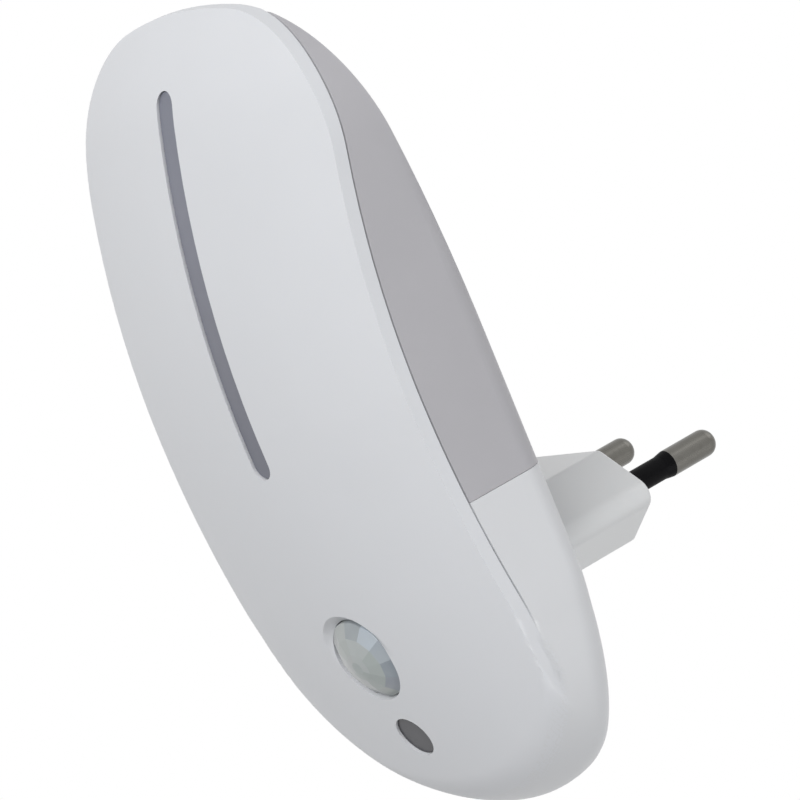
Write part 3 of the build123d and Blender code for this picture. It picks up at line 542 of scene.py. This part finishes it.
def makeLens(plan):
    rings = plan["rings"]
    low = -plan["seat"] + plan["floorDepth"]
    bpy.ops.object.select_all(action="DESELECT")
    bpy.ops.mesh.primitive_cylinder_add(vertices=plan["petals"], radius=rings[0][0], depth=-low,
                                        location=(0, 0, low / 2))
    lens = bpy.context.object
    lens.name = "faceted_lens"
    bpy.ops.object.transform_apply(location=True, rotation=False, scale=False)
    for (wide, level), (narrow, top) in zip(rings, rings[1:]):
        selectFaces(lens.data, lambda face: face.normal.z > plan["facing"]
                    and face.center.z > level - plan["hair"])
        bpy.ops.object.mode_set(mode="EDIT")
        bpy.ops.mesh.extrude_region_move(TRANSFORM_OT_translate={"value": (0, 0, top - level)})
        bpy.ops.transform.resize(value=(narrow / wide, narrow / wide, 1), center_override=(0, 0, top))
        bpy.ops.object.mode_set(mode="OBJECT")
    bpy.ops.object.select_all(action="DESELECT")
    bpy.ops.mesh.primitive_cylinder_add(vertices=plan["rimSides"], radius=plan["radius"],
                                        depth=plan["trimLength"])
    trim = bpy.context.object
    cut = lens.modifiers.new("roundRim", "BOOLEAN")
    cut.operation = "INTERSECT"
    cut.object = trim
    bpy.context.view_layer.objects.active = lens
    bpy.ops.object.modifier_apply(modifier=cut.name)
    bpy.data.objects.remove(trim, do_unlink=True)
    selectFaces(lens.data, lambda face: face.normal.z < -plan["facing"])
    bpy.ops.object.mode_set(mode="EDIT")
    grow = plan["flange"] / plan["radius"]
    bpy.ops.mesh.extrude_region_move(TRANSFORM_OT_translate={"value": (0, 0, 0)})
    bpy.ops.transform.resize(value=(grow, grow, 1), center_override=(0, 0, low))
    bpy.ops.mesh.extrude_region_move(TRANSFORM_OT_translate={"value": (0, 0, -plan["flangeThick"])})
    bpy.ops.object.mode_set(mode="OBJECT")
    rounded = lens.modifiers.new("softEdges", "BEVEL")
    rounded.width = plan["edge"]
    rounded.segments = 2
    rounded.limit_method = "ANGLE"
    rounded.angle_limit = plan["bevelOver"]
    bpy.context.view_layer.objects.active = lens
    bpy.ops.object.modifier_apply(modifier=rounded.name)
    return lens


def paintFacetLight(lens, plan):
    # each facet of a moulded lens bends the light its own way; here that is painted light and shade, a fixed
    # lighter or darker tone for each facet
    held = lens.data.color_attributes.new("facetTone", "FLOAT_COLOR", "CORNER")
    rings = plan["rings"]
    outer = plan["outerTones"]
    inner = plan["innerTones"]
    for face in lens.data.polygons:
        turn = (math.atan2(face.center.x, face.center.y) / (2 * math.pi)) % 1.0
        reach = math.hypot(face.center.x, face.center.y)
        if reach > rings[1][0] * plan["outerShare"]:
            tone = outer[int(turn * len(outer)) % len(outer)]
        elif reach > rings[2][0] * plan["innerShare"]:
            tone = inner[int(turn * len(inner)) % len(inner)]
        elif reach < rings[3][0]:
            tone = plan["centreTone"]
        else:
            # this ring is toned in three parts, with every second inner tone
            tone = inner[int(turn * 3) * 2 % len(inner)]
        for corner in face.loop_indices:
            held.data[corner].color = (*tone, 1.0)


def setOnFace(piece, plan):
    # the lens looks straight out of the bowed face at its own height
    tilt = math.asin((plan["bowHeight"] - plan["height"]) / plan["bow"])
    centre = Vector((0, plan["bowFront"] + plan["bow"] * (1 - math.cos(tilt)), plan["height"]))
    out = Vector((0, -math.cos(tilt), -math.sin(tilt)))
    up = Vector((0, -math.sin(tilt), math.cos(tilt)))
    turn = Matrix((up.cross(out), up, out)).transposed().to_4x4()
    piece.matrix_world = Matrix.Translation(centre - out * plan["floorDepth"]) @ turn
    bpy.ops.object.select_all(action="DESELECT")
    piece.select_set(True)
    bpy.context.view_layer.objects.active = piece
    bpy.ops.object.transform_apply(location=True, rotation=True, scale=True)


lens = makeLens(lensPlan)
paintFacetLight(lens, lensPlan)
setOnFace(lens, lensPlan)
bpy.ops.object.shade_smooth_by_angle(angle=lensPlan["shadeOver"])
lens.data.materials.append(lensFinish)
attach(lens, "root")
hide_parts("motion_lens")
print("lens made:", len(lens.data.polygons), "faces")

viewpoint = {"azimuth": 56.8613, "elevation": 9.9363, "roll": -22.0736, "distance": 600 * mm,
             "aimRight": 24.6684 * mm, "aimUp": -13.7991 * mm, "lens": 191.16, "sensor": 36.0,
             "near": 10 * mm}


def placeCamera(v):
    a, e, r = (math.radians(v[k]) for k in ("azimuth", "elevation", "roll"))
    back = Vector((math.sin(a) * math.cos(e), -math.cos(a) * math.cos(e), math.sin(e)))
    level = Vector((math.cos(a), math.sin(a), 0))
    upright = back.cross(level)
    right = level * math.cos(r) + upright * math.sin(r)
    up = upright * math.cos(r) - level * math.sin(r)
    data = bpy.data.cameras.new("camera")
    data.lens = v["lens"]
    data.sensor_width = v["sensor"]
    data.clip_start = v["near"]
    camera = bpy.data.objects.new("camera", data)
    bpy.context.scene.collection.objects.link(camera)
    turn = Matrix((right, up, back)).transposed().to_4x4()
    place = back * v["distance"] - right * v["aimRight"] - up * v["aimUp"]
    camera.matrix_world = Matrix.Translation(place) @ turn
    bpy.context.scene.camera = camera


placeCamera(viewpoint)
print("camera placed")

lamps = {
    "key": {"place": (0.54, -0.90, 0.66), "size": 0.9, "power": 10.4, "colour": (1.0, 0.995, 0.99)},
    "side": {"place": (0.70, 0.11, -0.52), "size": 0.5, "power": 2.5, "colour": (1.0, 1.0, 1.0)},
    "rear": {"place": (0.30, 0.80, 0.50), "size": 0.6, "power": 0.9, "colour": (1.0, 1.0, 1.0)},
}
worldLevel = 0.45
aimPoint = Vector((0, -30 * mm, 20 * mm))

for name, lamp in lamps.items():
    data = bpy.data.lights.new(name, "AREA")
    data.shape = "SQUARE"
    data.size = lamp["size"]
    data.energy = lamp["power"]
    data.color = lamp["colour"]
    source = bpy.data.objects.new(name, data)
    bpy.context.scene.collection.objects.link(source)
    source.location = lamp["place"]
    source.rotation_euler = (aimPoint - source.location).to_track_quat("-Z", "Y").to_euler()


def seenDirectly(tree):
    # 1 for what the camera, gloss and glass see, 0 for the light that falls on the object
    path = tree.nodes.new("ShaderNodeLightPath")
    seen = path.outputs["Is Camera Ray"]
    for other in ("Is Glossy Ray", "Is Transmission Ray"):
        either = tree.nodes.new("ShaderNodeMath")
        either.operation = "MAXIMUM"
        tree.links.new(seen, either.inputs[0])
        tree.links.new(path.outputs[other], either.inputs[1])
        seen = either.outputs["Value"]
    return seen


world = bpy.data.worlds.new("studio")
bpy.context.scene.world = world
world.use_nodes = True
tree = world.node_tree
tree.nodes.clear()
level = tree.nodes.new("ShaderNodeMapRange")
level.inputs["To Min"].default_value = worldLevel
level.inputs["To Max"].default_value = 1.0
shade = tree.nodes.new("ShaderNodeBackground")
shade.inputs["Color"].default_value = tint(1, 1, 1)
output = tree.nodes.new("ShaderNodeOutputWorld")
tree.links.new(seenDirectly(tree), level.inputs["Value"])
tree.links.new(level.outputs["Result"], shade.inputs["Strength"])
tree.links.new(shade.outputs["Background"], output.inputs["Surface"])

floorPlan = {"half": 4.0, "drop": 0.9, "colour": tint(0.40, 0.40, 0.40)}
bpy.ops.object.select_all(action="DESELECT")
bpy.ops.mesh.primitive_plane_add(size=2 * floorPlan["half"], location=(0, 0, cadLow.z - floorPlan["drop"]))
floor = bpy.context.object
floor.name = "floor"
pale = Finish("paleFloor")
diffuse = pale.add("BsdfDiffuse", {}, {"Color": floorPlan["colour"]})["BSDF"]
white = pale.add("Emission", {}, {"Color": tint(1, 1, 1), "Strength": 1.0})["Emission"]
mixed = pale.add("MixShader", {}, {0: Wire(pale, seenDirectly(pale.tree)), 1: diffuse, 2: white})["Shader"]
pale.add("OutputMaterial", {}, {"Surface": mixed})
floor.data.materials.append(pale.material)

bpy.context.scene.view_settings.view_transform = "Standard"
print("studio set")
